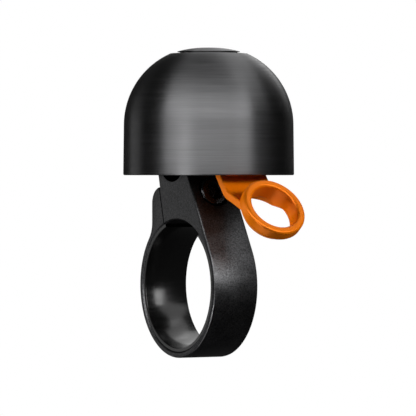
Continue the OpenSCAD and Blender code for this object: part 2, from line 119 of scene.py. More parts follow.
def add(tree: Tree, kind: str, settings: dict[str, Any] | None = None,
        links: dict[str | int, Any] | None = None) -> Node:
    """Adds one shader node with its settings, values and links.

    Args:
        tree: The node tree.
        kind: The node's type name, without its ShaderNode prefix.
        settings: Attributes of the node itself.
        links: Values or output sockets, by input name or number.

    Returns:
        The new node.
    """
    node = tree.nodes.new("ShaderNode" + kind)
    for key, value in (settings or {}).items():
        setattr(node, key, value)
    for key, value in (links or {}).items():
        if isinstance(value, Socket):
            tree.links.new(value, node.inputs[key])
        else:
            node.inputs[key].default_value = value
    return node


def blank(owner: bpy.types.ID) -> Tree:
    """Returns the emptied node tree of a material or a world."""
    owner.use_nodes = True
    owner.node_tree.nodes.clear()
    return owner.node_tree


def combine(tree: Tree, kind: str, operation: str, left: Any, right: Any) -> Socket:
    """Returns the first output of a Math or VectorMath node on two values or sockets."""
    return add(tree, kind, {"operation": operation}, {0: left, 1: right}).outputs[0]


def noise(tree: Tree, place: Socket, size: float, detail: float, roughness: float) -> Socket:
    """Returns a noise whose features are size millimetres across."""
    return add(tree, "TexNoise", links={
        "Vector": place, "Scale": 1.0 / (size * MM), "Detail": detail,
        "Roughness": roughness}).outputs["Fac"]


def remap(tree: Tree, value: Socket, low: float, high: float, half: float = 0.2) -> Socket:
    """Spreads a noise over low to high, from half below its middle to half above."""
    return add(tree, "MapRange", links={
        "Value": value, "From Min": 0.5 - half, "From Max": 0.5 + half,
        "To Min": low, "To Max": high}).outputs[0]


@dataclass(frozen=True)
class Finish:
    """A surface finish that dresses a piece with one procedural material.

    Depth is that of the relief in mm. Tone is the least and the most that the colour is
    multiplied by, and sway is how far the roughness goes down and up.
    """

    name: str
    colour: str
    roughness: float
    metallic: float = 0.0
    depth: float = 0.003
    tone: Point = (0.96, 1.04)
    sway: Point = (0.03, 0.04)

    def weave(self, tree: Tree, shader: Node, place: Socket) -> None:
        """Draws the finish into its material.

        Args:
            tree: The material's nodes.
            shader: The principled shader.
            place: The object coordinates.
        """
        raise NotImplementedError

    def paint(self, tree: Tree, shader: Node, tone: Socket, wear: Socket, height: Socket,
              strength: float) -> None:
        """Links what multiplies the colour, what sways the roughness and the relief."""
        shade = add(tree, "VectorMath", {"operation": "SCALE"},
                    {0: linear(self.colour)[:3], "Scale": tone})
        rough = remap(tree, wear, self.roughness - self.sway[0], self.roughness + self.sway[1])
        bump = add(tree, "Bump", links={
            "Height": height, "Distance": self.depth * MM, "Strength": strength})
        for name, socket in (("Base Color", shade.outputs[0]), ("Roughness", rough),
                             ("Normal", bump.outputs[0])):
            tree.links.new(socket, shader.inputs[name])

    def material(self) -> bpy.types.Material:
        """Returns the material, made once and shared."""
        found = bpy.data.materials.get(self.name)
        if found is None:
            found = bpy.data.materials.new(self.name)
            tree = blank(found)
            shader = add(tree, "BsdfPrincipled", links={
                "Base Color": linear(self.colour), "Metallic": self.metallic,
                "Roughness": self.roughness})
            add(tree, "OutputMaterial", links={"Surface": shader.outputs["BSDF"]})
            self.weave(tree, shader, add(tree, "TexCoord").outputs["Object"])
        return found

    def dress(self, piece: Piece) -> None:
        """Gives the piece this finish all over."""
        piece.data.materials.clear()
        piece.data.materials.append(self.material())
        for face in piece.data.polygons:
            face.material_index = 0


@dataclass(frozen=True)
class TurnedAnodised(Finish):
    """Aluminium turned on a lathe, brushed round its axis and dyed black.

    The fine rings left by the brush spread a highlight up and down the wall, so that
    a soft light shows as one upright band with faint level streaks in it.
    """

    centre: tuple[float, float, float] = (0.0, 0.0, 0.0)
    line: float = 0.22
    sweep: float = 9.0
    wide_line: float = 1.1
    wide_sweep: float = 28.0
    depth: float = 0.004
    tone: Point = (0.84, 1.16)
    wide_tone: Point = (0.95, 1.05)
    sway: Point = (0.06, 0.08)
    spread: float = 0.81

    def weave(self, tree: Tree, shader: Node, place: Socket) -> None:
        """Draws fine and wide rings round the axis."""
        centred = combine(tree, "VectorMath", "SUBTRACT", place, self.centre)
        parts = add(tree, "SeparateXYZ", links={0: centred}).outputs
        flat = combine(tree, "VectorMath", "MULTIPLY", centred, (1, 1, 0))
        radius = add(tree, "VectorMath", {"operation": "LENGTH"}, {0: flat})
        along = combine(tree, "Math", "SUBTRACT", parts["Z"], radius.outputs["Value"])
        rings = []
        for line, sweep, detail in ((self.line, self.sweep, 3.0),
                                    (self.wide_line, self.wide_sweep, 2.0)):
            brushed = add(tree, "CombineXYZ", links={
                "X": parts["X"], "Y": parts["Y"],
                "Z": combine(tree, "Math", "MULTIPLY", along, sweep / line)})
            rings.append(noise(tree, brushed.outputs[0], sweep, detail, 0.6))
        fine, wide = rings
        tone = combine(tree, "Math", "MULTIPLY", remap(tree, wide, *self.wide_tone, 0.15),
                       remap(tree, fine, *self.tone, 0.25))
        self.paint(tree, shader, tone, fine, fine, 0.6)
        tangent = add(tree, "Tangent", {"direction_type": "RADIAL", "axis": "Z"})
        tree.links.new(tangent.outputs[0], shader.inputs["Tangent"])
        shader.inputs["Anisotropic"].default_value = self.spread
        shader.inputs["Anisotropic Rotation"].default_value = 0.25


@dataclass(frozen=True)
class Blasted(Finish):
    """Aluminium bead blasted to a fine even grain, then anodised.

    The grain is about 0.1 mm in life; it is drawn at 0.26 mm so that it still shows.
    """

    grain: float = 0.26
    depth: float = 0.009
    mottle: float = 2.4
    tone: Point = (0.5, 1.6)
    wide_tone: Point = (0.93, 1.07)

    def weave(self, tree: Tree, shader: Node, place: Socket) -> None:
        """Draws the pits and a faint mottle over them."""
        pits = noise(tree, place, self.grain, 2.0, 0.55)
        cloud = noise(tree, place, self.mottle, 3.0, 0.5)
        tone = combine(tree, "Math", "MULTIPLY", remap(tree, pits, *self.tone),
                       remap(tree, cloud, *self.wide_tone))
        self.paint(tree, shader, tone, cloud, pits, 0.7)


@dataclass(frozen=True)
class Coated(Finish):
    """A smooth moulded or sprayed skin with a slight orange-peel ripple."""

    peel: float = 0.7
    gloss: float = 0.5

    def weave(self, tree: Tree, shader: Node, place: Socket) -> None:
        """Draws the ripple, and specks a fifth of its size."""
        peel = noise(tree, place, self.peel, 2.0, 0.5)
        speck = noise(tree, place, self.peel * 0.2, 2.0, 0.6)
        tone = remap(tree, speck, *self.tone)
        self.paint(tree, shader, tone, peel, peel, 0.4)
        shader.inputs["Specular IOR Level"].default_value = self.gloss


@dataclass(frozen=True)
class Drawn(Finish):
    """Metal drawn, rolled or turned so that fine lines run one way across it."""

    direction: tuple[float, float, float] = (1.0, 0.0, 0.0)
    line: float = 0.1
    run: float = 3.0
    tone: Point = (0.85, 1.12)
    sway: Point = (0.06, 0.06)

    def weave(self, tree: Tree, shader: Node, place: Socket) -> None:
        """Draws a noise stretched along the lines."""
        squeeze = [1.0 if abs(d) < 0.5 else self.line / self.run for d in self.direction]
        lines = combine(tree, "VectorMath", "MULTIPLY", place, squeeze)
        grain = noise(tree, lines, self.line, 3.0, 0.6)
        tone = remap(tree, grain, *self.tone)
        self.paint(tree, shader, tone, grain, grain, 0.5)


# ---------- modelling bench


def spot(out: float, up: float, along: float = 0.0) -> Vector:
    """Returns the place in metres of a point given in mm."""
    return Vector((along * MM, -out * MM, up * MM))


def arc(centre: Point, radius: float, start: float, end: float, steps: int) -> list[Point]:
    """Returns points along an arc, angles in degrees, both ends included."""
    angles = [math.radians(start + (end - start) * i / steps) for i in range(steps + 1)]
    return [(centre[0] + radius * math.cos(t), centre[1] + radius * math.sin(t)) for t in angles]


def bow(start: Point, pull: Point, end: Point, steps: int) -> list[Point]:
    """Returns points along a curve that leaves start and meets end, drawn toward pull."""
    out = []
    for i in range(steps + 1):
        t = i / steps
        out.append(tuple((1 - t) ** 2 * s + 2 * t * (1 - t) * p + t * t * e
                         for s, p, e in zip(start, pull, end)))
    return out


def ring(inner: float, outer: float, low: float, high: float, soft: float) -> list[Point]:
    """Returns the half section of a ring whose outer corners are rounded."""
    edge = outer - soft
    return [(inner, low), *arc((edge, low + soft), soft, -90, 0, 5),
            *arc((edge, high - soft), soft, 0, 90, 5), (inner, high)]


def flip(points: Sequence[Point]) -> list[Point]:
    """Returns points mirrored in height, in the opposite order."""
    return [(r, -h) for r, h in reversed(points)]


def bent_strip(points: Sequence[Point], bends: Sequence[float], thick: float) -> list[Point]:
    """Returns the side outline of a strip bent at its corners.

    Args:
        points: Corners of the strip's middle line.
        bends: Radius of the bend at each corner; the ends have none.
        thick: The strip's thickness.

    Returns:
        The closed outline.
    """
    middle: list[tuple[Vector, Vector]] = []
    vectors = [Vector(p) for p in points]
    for i, here in enumerate(vectors):
        before = (here - vectors[i - 1]).normalized() if i else None
        after = (vectors[i + 1] - here).normalized() if i < len(vectors) - 1 else None
        if before is None or after is None:
            middle.append((here, before or after))
            continue
        swing, bend = before.angle_signed(after), bends[i]
        normal = Vector((-before.y, before.x)) * (-1 if swing > 0 else 1)
        centre = here - before * (bend * math.tan(abs(swing) / 2)) + normal * bend
        for k in range(9):
            spin = Matrix.Rotation(-(swing * k / 8), 2)
            middle.append((centre + spin @ (-normal * bend), spin @ before))
    half = thick / 2
    left = [p + Vector((-d.y, d.x)) * half for p, d in middle]
    right = [p - Vector((-d.y, d.x)) * half for p, d in middle]
    return [tuple(p) for p in left + right[::-1]]


def clear() -> None:
    """Leaves edit mode, with nothing selected."""
    if bpy.context.object and bpy.context.object.mode != "OBJECT":
        bpy.ops.object.mode_set(mode="OBJECT")
    bpy.ops.object.select_all(action="DESELECT")


def pick(piece: Piece) -> None:
    """Selects one piece alone and makes it active."""
    clear()
    piece.select_set(True)
    bpy.context.view_layer.objects.active = piece


def edit(piece: Piece, action: str = "SELECT", mode: str = "VERT") -> None:
    """Enters edit mode with everything selected, or nothing."""
    pick(piece)
    bpy.ops.object.mode_set(mode="EDIT")
    bpy.ops.mesh.select_mode(type=mode)
    bpy.ops.mesh.select_all(action=action)


def settle(piece: Piece, name: str) -> Piece:
    """Names a piece and moves its place into its mesh."""
    pick(piece)
    piece.name = piece.data.name = name
    bpy.ops.object.transform_apply(location=True, rotation=True, scale=True)
    return piece


def trace(name: str, points: Sequence[Vector], closed: bool = True) -> Piece:
    """Draws an outline from one corner, vertex by vertex.

    Args:
        name: The piece's name.
        points: The outline's corners in the row frame.
        closed: Whether the last corner is joined to the first.

    Returns:
        The outline, as a chain of edges.
    """
    clear()
    bpy.ops.mesh.primitive_plane_add(size=MM, location=points[0])
    piece = bpy.context.object
    bpy.ops.object.mode_set(mode="EDIT")
    bpy.ops.mesh.select_mode(type="VERT")
    bpy.ops.mesh.merge(type="CENTER")
    for here, there in zip(points, points[1:]):
        bpy.ops.mesh.extrude_vertices_move(
            TRANSFORM_OT_translate={"value": Vector(there) - Vector(here)})
    bpy.ops.object.mode_set(mode="OBJECT")
    settle(piece, name)
    if closed:
        ends = Vector(points[0]), Vector(points[-1])
        choose(piece, lambda v: min((v - end).length for end in ends) < 1e-8, edges=False)
        bpy.ops.mesh.edge_face_add()
        bpy.ops.object.mode_set(mode="OBJECT")
    return piece


def choose(piece: Piece, test: Callable[..., bool], edges: bool = True) -> None:
    """Enters edit mode with only the matching edges or vertices selected.

    Args:
        piece: The mesh object.
        test: Test on the places of an edge's two ends, or of one vertex.
        edges: Whether the test is on edges.
    """
    edit(piece, "DESELECT", "EDGE" if edges else "VERT")
    bpy.ops.object.mode_set(mode="OBJECT")
    mesh = piece.data
    for item in mesh.edges if edges else mesh.vertices:
        ends = item.vertices if edges else (item.index,)
        item.select = bool(test(*[mesh.vertices[i].co for i in ends]))
    bpy.ops.object.mode_set(mode="EDIT")


def bevel(piece: Piece, test: Callable[..., bool], offset: float, segments: int = 5) -> None:
    """Rounds the edges that pass a test on their two ends, by an offset in mm."""
    choose(piece, test)
    bpy.ops.mesh.bevel(offset=offset * MM, segments=segments, profile=0.5, affect="EDGES")
    bpy.ops.object.mode_set(mode="OBJECT")


def close_up(piece: Piece, gap: float = 1e-7) -> Piece:
    """Merges doubled vertices and turns every face outward."""
    edit(piece)
    bpy.ops.mesh.remove_doubles(threshold=gap)
    bpy.ops.mesh.normals_make_consistent(inside=False)
    bpy.ops.object.mode_set(mode="OBJECT")
    return piece


def revolve(name: str, profile: Sequence[Point], centre: Vector, axis: Vector,
            start: Vector, steps: int = 96, angle: float = 360.0) -> Piece:
    """Spins a profile of (radius, height) points round an axis.

    Args:
        name: The piece's name.
        profile: The profile in mm, closed unless both its ends lie on the axis.
        centre: A point on the axis, at height zero.
        axis: The axis direction.
        start: The direction in which the profile is drawn.
        steps: Steps in the whole turn.
        angle: How far it turns, in degrees.

    Returns:
        The solid.
    """
    axis, start = axis.normalized(), start.normalized()
    points = [centre + start * (r * MM) + axis * (h * MM) for r, h in profile]
    on_axis = profile[0][0] < 1e-6 and profile[-1][0] < 1e-6
    piece = trace(name, points, closed=not on_axis)
    edit(piece)
    if angle < 360:
        bpy.ops.mesh.edge_face_add()
    bpy.ops.mesh.spin(steps=steps, angle=math.radians(angle), center=centre, axis=axis)
    return close_up(piece, 2e-7)


def turn(name: str, profile: Sequence[Point], centre: Vector, axis: Vector,
         steps: int = 64) -> Piece:
    """Revolves and shades a profile that may start anywhere round its axis."""
    piece = revolve(name, profile, centre, axis, UP if abs(axis.x) > 0.5 else ALONG, steps)
    smooth(piece)
    return piece


def drill(piece: Piece, radius: float, centre: Vector, axis: Vector) -> None:
    """Drills a hole, its radius in mm, right through a piece."""
    cut(piece, turn("drill", [(0, -9), (radius, -9), (radius, 9), (0, 9)], centre, axis, 40))


def extrude(name: str, points: Sequence[Vector], move: Vector) -> Piece:
    """Fills an outline and extrudes it."""
    piece = trace(name, points)
    edit(piece)
    bpy.ops.mesh.edge_face_add()
    bpy.ops.mesh.extrude_region_move(TRANSFORM_OT_translate={"value": move})
    return close_up(piece)


def slab(name: str, outline: Sequence[Point], low: float, high: float) -> Piece:
    """Fills an (outward, up) outline in mm and extrudes it along the bar."""
    return extrude(name, [spot(*point, low) for point in outline], spot(0, 0, high - low))


def block(name: str, centre: Vector, size: Sequence[float]) -> Piece:
    """Adds a block of the given size in mm."""
    clear()
    bpy.ops.mesh.primitive_cube_add(size=1, location=centre)
    bpy.context.object.scale = [length * MM for length in size]
    return settle(bpy.context.object, name)


def hexagon(inradius: float, depth: float, place: Matrix) -> Piece:
    """Adds a hexagon prism by half its width across flats and its depth, both in mm."""
    clear()
    bpy.ops.mesh.primitive_cylinder_add(
        vertices=6, radius=inradius * MM / math.cos(math.pi / 6), depth=depth * MM)
    bpy.context.object.matrix_world = place
    return settle(bpy.context.object, "hexagon")


def join(pieces: Sequence[Piece], name: str) -> Piece:
    """Makes one object of several."""
    pick(pieces[0])
    for other in pieces[1:]:
        other.select_set(True)
    bpy.ops.object.join()
    return settle(pieces[0], name)


def modifier(piece: Piece, kind: str, **settings: Any) -> None:
    """Adds a modifier, sets it and applies it."""
    pick(piece)
    bpy.ops.object.modifier_add(type=kind)
    made = piece.modifiers[-1]
    for key, value in settings.items():
        setattr(made, key, value)
    bpy.ops.object.modifier_apply(modifier=made.name)


def cut(piece: Piece, tool: Piece, operation: str = "DIFFERENCE") -> None:
    """Cuts a tool out of a piece, or joins it on, and removes the tool."""
    modifier(piece, "BOOLEAN", operation=operation, solver="EXACT", object=tool)
    bpy.data.objects.remove(tool)


def smooth(piece: Piece, angle: float = 30.0) -> None:
    """Shades faces smooth across edges below an angle in degrees."""
    pick(piece)
    bpy.ops.object.shade_smooth_by_angle(angle=math.radians(angle))


def finish(piece: Piece, body: Body, look: Finish, nodes: Sequence[str],
           bend: tuple[Body, Vector, Vector] | None = None) -> None:
    """Dresses a piece and reports it. It puts the piece on its body, or, when a bend is given, bakes
    the piece's place into its mesh and puts it on no body.

    Args:
        piece: The finished mesh object.
        body: The body that it rides on.
        look: The finish.
        nodes: The frame nodes that it stands for.
        bend: A springy piece's far body, and where it starts and ends turning. Only whether it is given
            is read.
    """
    look.dress(piece)
    if bend:
        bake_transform(piece)
    else:
        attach(piece, body.value)
    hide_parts(*nodes)
    LOG.info("%s: %d faces on %s", piece.name, len(piece.data.polygons), body.value)


# ---------- sizes


@dataclass(frozen=True)
class Layout:
    """Places in mm shared by the sub-assemblies, read from the frame."""

    dome_out: float
    rim: float
    crown: float
    dome_r: float
    band_r: float
    bar_r: float
    half_width: float
    pivot: Point

    @staticmethod
    def read() -> "Layout":
        """Returns the layout measured on the loaded frame."""
        dome_low, dome_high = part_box("bell_dome")
        clamp_low, clamp_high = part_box("clamp_body")
        mount = frame["record"]["mounts"][0]
        pivot = next(j for j in frame["joints"] if j["name"] == "lever_pull")["pos_m"]
        return Layout(
            dome_out=-(dome_low.y + dome_high.y) / 2 / MM, rim=dome_low.z / MM,
            crown=dome_high.z / MM, dome_r=(dome_high.x - dome_low.x) / 2 / MM,
            band_r=-clamp_low.z / MM, bar_r=mount["dims"]["r_mm"],
            half_width=clamp_high.x / MM, pivot=(-pivot[1] / MM, pivot[2] / MM))

    @property
    def hinge(self) -> Vector:
        """The middle of the lever's pivot, in metres."""
        return spot(*self.pivot)

    def on_axis(self, height: float) -> Vector:
        """Returns a point on the dome's axis at a height in mm above the rim."""
        return spot(self.dome_out, self.rim + height)

    def near(self, out: float, up: float) -> Point:
        """Returns an (outward, up) point given from the dome's axis and rim."""
        return (self.dome_out + out, self.rim + up)


# ---------- dome


@dataclass
class Dome:
    """The bell's shell with its cap."""

    at: Layout
    wall: float = 1.1
    crown_wall: float = 1.2
    taper: float = 0.1
    shoulder: float = 13.9
    flat: float = 6.8
    rim_round: float = 0.25
    hole: float = 2.52
    cap_r: float = 5.55
    cap_lift: float = 0.25
    cap_h: float = 0.77
    socket: float = 1
    socket_depth: float = 1.3

    @property
    def turned(self) -> TurnedAnodised:
        """The finish, centred on the dome's axis."""
        return TurnedAnodised("turned_black_anodised", "#545455", 0.415, 1.0,
                              centre=tuple(self.at.on_axis(0)))

    def shell_profile(self) -> list[Point]:
        """Returns the closed half section of the shell as (radius, height)."""
        r, top = self.at.dome_r, self.at.crown - self.at.rim
        out = r - self.taper - self.shoulder
        up = top - math.sqrt(self.shoulder ** 2 - (self.flat - out) ** 2)
        middle = (out, up)
        lip = self.rim_round
        inner_r = self.shoulder - self.wall
        low = top - self.crown_wall
        last = math.degrees(math.atan2(top - up, self.flat - out))
        inner_last = math.degrees(math.asin((low - up) / inner_r))
        points = arc((r - lip, lip), lip, -90, 0, 5)
        points += [(r - self.taper * k / 4, lip + (up - lip) * k / 4) for k in (1, 2, 3)]
        points += arc(middle, self.shoulder, 0, last, 40)
        points += [(self.flat - 0.25, top), (self.cap_r - 0.4, top), (self.hole, top)]
        points += [(self.hole, low), (4.2, low)]
        points += arc(middle, inner_r, inner_last, 0, 32)
        points += [(r - self.wall, lip * 2), (r - self.wall, lip * 0.6), (r - self.wall + lip * 0.5, 0)]
        return points

    def build_shell(self) -> None:
        """Builds the shell."""
        shell = revolve("dome_shell", self.shell_profile(), self.at.on_axis(0), UP, ALONG, 160)
        smooth(shell, 28)
        finish(shell, Body.CLAMP, self.turned, ["bell_dome"])

    def build_cap(self) -> None:
        """Builds the low cap with its hexagon socket and shank."""
        foot = self.at.crown - self.at.rim + self.cap_lift
        r, h = self.cap_r, self.cap_h
        profile = [(0, foot - 8), (1.5, foot - 8), (1.5, foot),
                   (r - 0.04, foot), (r, foot + 0.04), (r - 0.02, foot + 0.1),
                   (r - 0.2, foot + 0.16)]
        profile += bow((r - 0.2, foot + 0.16), (3.4, foot + h - 0.1),
                       (1.6, foot + h - 0.01), 12)
        profile += [(1.3, foot + h), (0, foot + h)]
        cap = revolve("dome_cap", profile, self.at.on_axis(0), UP, ALONG, 96)
        cut(cap, hexagon(self.socket, self.socket_depth * 2,
                         Matrix.Translation(self.at.on_axis(foot + h))))
        smooth(cap, 25)
        finish(cap, Body.CLAMP, self.turned, ["dome_cap_screw"])

    def build(self) -> None:
        """Builds every piece of the dome."""
        self.build_shell()
        self.build_cap()


# ---------- clamp


@dataclass
class Clamp:
    """The band clamp with its block, lug, liner and screw."""

    at: Layout
    liner: float = 0.6
    liner_half: float = 4.3
    front: float = 29.0
    seam: float = 21.0
    lean: float = 14.0
    slot: float = 0.3
    liner_end: float = 38.0
    edge: float = 0.28
    screw_at: Point = (2.2, -2.65)
    head_r: float = 2.75
    head_h: float = 3
    socket: float = 1.25
    blasted: Blasted = Blasted("blasted_black_anodised", "#414142", 0.34, 1.0)
    rubber: Drawn = Drawn("liner_elastomer", "#0E0E0E", 0.2, depth=0.004, line=0.16, run=4.0)
    oxide: Coated = Coated("black_oxide_steel", "#343435", 0.26, 1.0, peel=0.2, depth=0.002)

    @property
    def bore(self) -> float:
        """Radius of the metal bore."""
        return self.at.bar_r + self.liner

    def round_bar(self, radius: float, angle: float) -> Point:
        """Returns a point at an angle from straight out, counted upward."""
        t = math.radians(angle)
        return (radius * math.cos(t), radius * math.sin(t))

    def outline(self) -> list[Point]:
        """Returns the outer outline of band, block and lug."""
        a = self.at
        tan = math.tan(math.radians(self.front))
        foot = self.round_bar(a.band_r, self.front)
        deck = a.rim + 0.5
        top = a.rim + 4.2
        lug = a.near(-9.3, -5.0)
        side = lug[0] - 2.9
        points = [(foot[0] - (deck - foot[1]) * tan, deck)]
        points += arc((0, 0), a.band_r, self.front, -220, 120)
        root = points.pop()
        points += bow(root, (side, 9.6), (side, 11.1), 8)
        points += arc(lug, 2.9, 180, 94, 20)
        seam = self.round_bar(self.bore, 90 + self.seam)
        lean = math.tan(math.radians(self.lean))
        points += [(seam[0] - (z - seam[1]) * lean - 0.1, z) for z in (a.rim - 2, top)]
        points += [(a.dome_out + 4, top), (a.dome_out + 4, deck)]
        return points

    def build_body(self) -> None:
        """Builds the band, block and lug, then cuts its openings."""
        a = self.at
        half = a.half_width
        body = slab("clamp_casting", self.outline(), -half, half)
        bevel(body, lambda p, q: abs(p.x - q.x) < 1e-6 and abs(abs(p.x) - half * MM) < 1e-6,
              self.edge, 3)
        close_up(body)
        for tool in (self.bore_tool(), self.slot_tool(), self.notch_tool(), *self.screw_tools(),
                     *self.deck_tools()):
            cut(body, tool)
        smooth(body, 24)
        finish(body, Body.CLAMP, self.blasted, ["clamp_body"])

    def bore_tool(self) -> Piece:
        """Returns the bore's cutter, flared where it leaves the band."""
        half, flare = self.at.half_width, self.edge
        edge = [(self.bore, half - flare), (self.bore + flare * 0.3, half - flare * 0.45),
                (self.bore + flare, half), (self.bore + flare + 1, half + 1), (0, half + 1)]
        return revolve("bore_tool", flip(edge) + edge, Vector(), ALONG, OUT, 180)

    def slot_tool(self) -> Piece:
        """Returns the closing slot's cutter."""
        seam = self.round_bar(self.bore, 90 + self.seam)
        t = math.radians(self.lean)
        corners = ((-self.slot, -3), (0, -3), (0, 20), (-self.slot, 20))
        points = [(seam[0] + x * math.cos(t) - y * math.sin(t),
                   seam[1] + x * math.sin(t) + y * math.cos(t)) for x, y in corners]
        return slab("slot_tool", points, -8, 8)

    def notch_tool(self) -> Piece:
        """Returns the cutter of the channel along the block's top."""
        middle = self.at.near(-5.2, 3.3)
        reach = 3.3
        edge = math.degrees(math.acos(reach / 4.5))
        points = arc(middle, 4.5, -edge, -180 + edge, 32)
        top = self.at.rim + 1.4
        points += [(middle[0] - reach, top), (middle[0] + reach, top)]
        return slab("notch_tool", points, -8, 8)

    def deck_tools(self) -> list[Piece]:
        """Returns the cutters of the bracket's seat and the stud's hole in the deck."""
        seat = [self.at.near(out, up) for out, up in ((-4, 3.8), (5, 3.8), (5, 6), (-4, 6))]
        stud = [(0, -0.5), (2.01, -0.5), (2.01, 6), (0, 6)]
        return [slab("seat_tool", seat, -3.11, 3.11),
                turn("stud_tool", stud, self.at.on_axis(0), UP)]

    def screw_axis(self) -> tuple[Vector, Vector]:
        """Returns the middle of the screw's head and its direction inward."""
        out, up = self.at.near(*self.screw_at)
        t = math.radians(self.lean)
        return spot(out, up), Vector((0, math.cos(t), -math.sin(t)))

    def screw_tools(self) -> list[Piece]:
        """Returns the cutters of the counterbore and the screw's hole."""
        face, inward = self.screw_axis()
        well = self.head_r + 0.25
        floor = self.head_h + 0.5
        wide = [(0, -6), (well, -6), (well, floor), (0, floor)]
        thin = [(0, -1), (1.6, -1), (1.6, 9), (1.51, 9.1), (1.51, 14.3), (0, 14.3)]
        return [revolve("well_tool", wide, face, inward, ALONG, 64),
                turn("hole_tool", thin, face, inward, 32)]

    def build_liner(self) -> None:
        """Builds the soft liner, open at the slot and under the block."""
        half, inner, outer, soft = self.liner_half, self.at.bar_r, self.bore - 0.01, 0.12
        profile = [(inner + soft, -half), (outer, -half), (outer, half), (inner + soft, half),
                   (inner + soft * 0.3, half - soft * 0.3), (inner, half - soft),
                   (inner, 0), (inner, -half + soft), (inner + soft * 0.3, -half + soft * 0.3)]
        start = self.round_bar(1.0, 90 + self.seam)
        sweep = 360 - self.seam - self.liner_end
        liner = revolve("bar_liner_band", profile, Vector(), ALONG,
                        Vector((0, -start[0], start[1])), 150, sweep)
        smooth(liner)
        finish(liner, Body.CLAMP, self.rubber, ["bar_liner"])

    def build_screw(self) -> None:
        """Builds the socket screw."""
        face, inward = self.screw_axis()
        r, h = self.head_r, self.head_h
        soft = 0.5
        profile = [(0, 0), (1.62, 0), *arc((r - soft, soft), soft, -90, 0, 8)]
        profile += [(r, h - 0.1), (r - 0.1, h), (1.5, h), (1.5, h + 10.6),
                    (1.1, h + 11), (0, h + 11)]
        screw = revolve("clamp_socket_screw", profile, face, inward, ALONG, 72)
        turned = inward.to_track_quat("Z", "X").to_matrix().to_4x4()
        cut(screw, hexagon(self.socket, 3, Matrix.Translation(face) @ turned))
        flare = [(0, -0.2), (1.8, -0.2), (1.25, 0.35), (0, 0.35)]
        cut(screw, turn("flare", flare, face, inward, 48))
        smooth(screw)
        finish(screw, Body.CLAMP, self.oxide, ["clamp_screw"])

    def build(self) -> None:
        """Builds every piece of the clamp."""
        self.build_body()
        self.build_liner()
        self.build_screw()


# ---------- lever


@dataclass
class Lever:
    """The thumb lever: bent plate, cheeks and finger loop in one moulding."""

    at: Layout
    thick: float = 1.45
    width: float = 9.6
    tilt: float = 37.6
    hole: float = 4.35
    wall: float = 1.5
    lip: float = 0.5
    depth: float = 3.0
    slope: float = 21.8
    voxel: float = 0.13
    bush_hole: float = 1.52
    orange: Coated = Coated("lacquered_orange", "#F57C02", 0.36, 0.2, peel=0.6, depth=0.003,
                            gloss=0.1)

    def loop_middle(self) -> Point:
        """Returns the middle of the loop's front lip."""
        return self.at.near(21.45, -5.6)

    def loop_axis(self) -> Vector:
        """Returns the direction out of the loop's front."""
        t = math.radians(self.tilt)
        return Vector((0, -math.cos(t), math.sin(t)))

    @property
    def web(self) -> float:
        """How far out the plate's upright part stands."""
        return self.at.pivot[0] + 3.4

    def path(self) -> tuple[list[Point], list[float]]:
        """Returns the plate's corners and the radius of its bend at each."""
        tongue = self.at.pivot[1] + 3.325
        knee = self.at.near(13.19, -3.25)
        run = self.loop_middle()[0] - 2.3 - knee[0]
        tan = math.tan(math.radians(self.slope))
        points = [(self.at.dome_out + 4.05, tongue), (self.web, tongue),
                  (self.web, self.at.rim + 2.15), knee, (knee[0] + run, knee[1] - run * tan)]
        return points, [0, 1.6, 2.4, 3, 0]

    def cheek(self) -> list[Point]:
        """Returns the outline of one side cheek."""
        pivot, r, web = self.at.pivot, 2.3, self.web
        heel = math.radians(61)
        toe = (pivot[0] - r * math.cos(heel), pivot[1] - r * math.sin(heel))
        foot = toe[1] - (web - toe[0]) / math.tan(heel)
        return [*arc(pivot, r, 90, 241, 20), (web, foot), (web, pivot[1] + r)]

    def loop_section(self) -> list[Point]:
        """Returns the loop's wall as (radius, height) from the middle of its lip."""
        lip, outer, foot = self.lip, self.hole + self.wall, -self.depth
        wall = arc((self.hole + lip, 0), lip, 180, 96, 8)
        wall += arc((outer - lip, 0), lip, 84, 0, 8)
        wall += [(outer - draw, foot + up) for draw, up in (
            (0, 1.7), (0.15, 1.4), (0.45, 1.0), (0.8, 0.6), (1.1, 0.25), (1.2, 0.08), (1.28, 0))]
        wall += [(self.hole + 0.1, foot), (self.hole, foot + 0.1)]
        return wall

    def scoop(self) -> Piece:
        """Returns the cutter of the groove that leads a finger into the loop."""
        r, run = 3.4, 2.8
        out, up = self.loop_middle()
        middle = spot(out - 6.55, up - 1.45)
        profile = arc((0, 0), r, -90, 0, 16) + [(r, run), (0, run)]
        return revolve("scoop", [(max(p, 0), h) for p, h in profile], middle, OUT, UP, 64)

    def build(self) -> None:
        """Builds the lever and fuses it into one skin."""
        half = self.width / 2
        body = slab("thumb_lever", bent_strip(*self.path(), self.thick), -half, half)
        tongue, size = 2.2, 10
        for side in (-1, 1):
            middle = spot(self.web - 4.8, self.at.pivot[1] + 7.3, side * (tongue + size / 2))
            cut(body, block("relief", middle, (size, size, size)))
        centre, axis = spot(*self.loop_middle()), self.loop_axis()
        wide = self.hole + 0.4
        bore = revolve("bore", [(0, -9), (self.hole, -9), (self.hole, -self.depth),
                                (wide, -self.depth + 0.4), (wide, 2), (0, 2)],
                       centre, axis, ALONG, 96)
        cut(body, bore)
        loop = revolve("loop", self.loop_section(), centre, axis, ALONG, 128)
        cheeks = [slab("cheek", self.cheek(), *sorted((side * half, side * (half - self.thick))))
                  for side in (-1, 1)]
        join([body, loop, *cheeks], "thumb_lever")
        modifier(body, "REMESH", mode="VOXEL", voxel_size=self.voxel * MM, use_smooth_shade=True)
        cut(body, self.scoop())
        modifier(body, "SMOOTH", factor=0.5, iterations=6)
        drill(body, self.bush_hole, self.at.hinge, ALONG)
        smooth(body, 40)
        finish(body, Body.LEVER, self.orange, ["trigger_lever"])


# ---------- mechanism


RIVET_HEAD = [(0.9, 0), (0.9, 0.08), (0.76, 0.24), (0.45, 0.33), (0, 0.35)]


